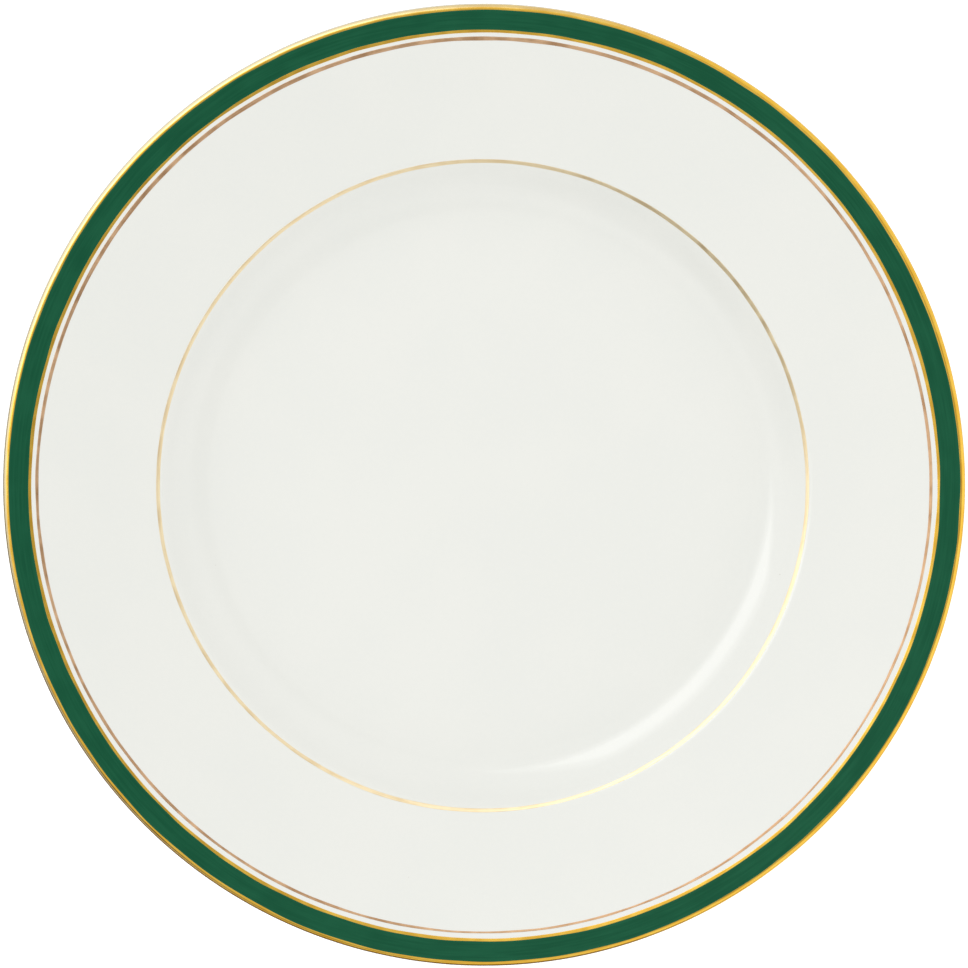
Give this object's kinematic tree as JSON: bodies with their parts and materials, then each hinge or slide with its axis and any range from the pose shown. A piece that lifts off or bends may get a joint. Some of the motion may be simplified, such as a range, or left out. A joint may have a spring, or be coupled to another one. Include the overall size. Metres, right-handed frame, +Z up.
{
  "type": "dinner plate",
  "caption": "Round rimmed porcelain dinner plate with a foot ring, a green enamel band and gilded lip, band and verge lines.",
  "frame": {"origin": "centre of the foot ring's resting plane", "axes": "+Z up along the plate's axis of revolution, out of the well; X and Y are interchangeable because the plate is a body of revolution"},
  "size_m": [0.27, 0.27, 0.0203],
  "materials": {
    "porcelain": "matt unglazed",
    "glaze": "gloss",
    "green_enamel": "gloss",
    "gold": "burnished",
    "hairline_gold": "satin",
    "pale_gold": "satin"
  },
  "bodies": {
    "root": {"porcelain_body": "porcelain", "glaze_coat": "glaze", "base_glaze": "glaze", "green_band": "green_enamel", "edge_gold_band": "gold", "band_gold_line": "gold", "rim_hairline": "hairline_gold", "verge_gold_line": "pale_gold"}
  },
  "joints": []
}
